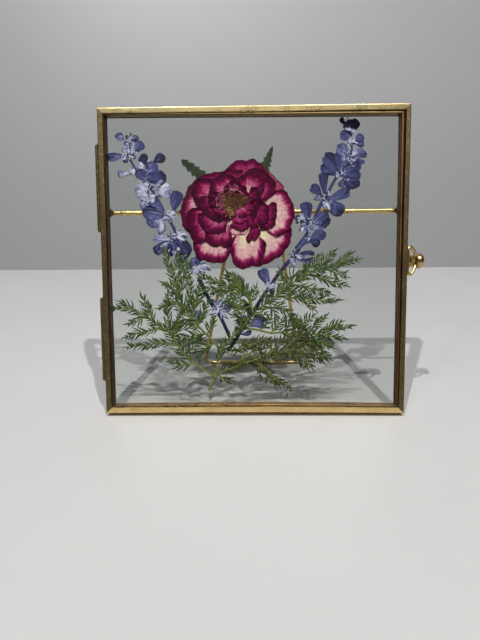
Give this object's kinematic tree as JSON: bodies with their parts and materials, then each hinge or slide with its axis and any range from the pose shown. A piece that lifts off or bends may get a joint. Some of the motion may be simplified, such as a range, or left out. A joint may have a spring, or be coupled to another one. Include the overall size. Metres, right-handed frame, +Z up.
{
  "type": "pressed flower frame",
  "caption": "Square brass double-glass frame with pressed flowers between its panes, hinged and clasped, leaning back on a fold-out wire leg.",
  "frame": {"origin": "on the floor, at the middle of the object's footprint", "axes": "+X to the right and -Y out of the front, as the flowers are seen; +Z up"},
  "size_m": [0.1644, 0.0626, 0.1482],
  "materials": {
    "frame_brass": "aged satin brass",
    "polished_brass": "polished brass",
    "clear_glass": "clear, slightly grey-green",
    "rose_petal": "dry pressed petal",
    "rose_stamens": "dry pressed stamens",
    "leaf_green": "dry pressed leaf",
    "spike_blue": "dry pressed blue florets"
  },
  "bodies": {
    "back_frame": {"back_bottom_rail": "frame_brass", "back_left_rail": "frame_brass", "back_top_rail": "frame_brass", "back_right_rail": "frame_brass", "back_glass": "clear_glass", "lower_hinge_back_knuckle": "frame_brass", "lower_hinge_pin": "frame_brass", "upper_hinge_back_knuckle": "frame_brass", "upper_hinge_pin": "frame_brass", "clasp_knob": "polished_brass", "stand_left_lug": "frame_brass", "stand_right_lug": "frame_brass", "rose_petal_top_back": "rose_petal", "rose_petal_upper_right_back": "rose_petal", "rose_petal_left_outer": "rose_petal", "rose_petal_left_lower": "rose_petal", "rose_petal_bottom_left": "rose_petal", "rose_petal_bottom_centre": "rose_petal", "rose_petal_bottom_right": "rose_petal", "rose_petal_right_outer": "rose_petal", "rose_petal_left_upper": "rose_petal", "rose_petal_upper_right": "rose_petal", "rose_petal_lower_left": "rose_petal", "rose_petal_right_lower": "rose_petal", "rose_petal_upper_left_inner": "rose_petal", "rose_petal_left_inner": "rose_petal", "rose_petal_right_inner": "rose_petal", "rose_petal_lower_inner": "rose_petal", "rose_petal_upper_right_inner": "rose_petal", "rose_stamens": "rose_stamens", "rose_sepal_left": "leaf_green", "rose_sepal_right": "leaf_green", "left_sprig": "leaf_green", "inner_left_sprig": "leaf_green", "right_sprig": "leaf_green", "lower_right_sprig": "leaf_green", "bottom_sprig": "leaf_green", "bottom_twig": "leaf_green", "upper_sprig": "leaf_green", "left_spike": "spike_blue", "right_spike": "spike_blue", "loose_petal_lower_left": "spike_blue", "loose_petal_lower_right": "spike_blue"},
    "door": {"door_bottom_rail": "frame_brass", "door_left_rail": "frame_brass", "door_top_rail": "frame_brass", "door_right_rail": "frame_brass", "door_glass": "clear_glass", "lower_hinge_door_knuckle": "frame_brass", "upper_hinge_door_knuckle": "frame_brass", "clasp_grip": "polished_brass"},
    "stand": {"stand_rod": "polished_brass", "stand_leg": "polished_brass"}
  },
  "joints": [
    {"name": "door_swing", "type": "hinge", "parent": "back_frame", "child": "door", "pos_m": [-0.08103, -0.00657, 0.07409], "axis": [0, -0.2756, -0.9613], "range_deg": [0, 180]},
    {"name": "stand_fold", "type": "hinge", "parent": "back_frame", "child": "stand", "pos_m": [-0.00358, 0.00581, 0.098], "axis": [-1, 0, 0], "range_deg": [0, 30.18]}
  ]
}
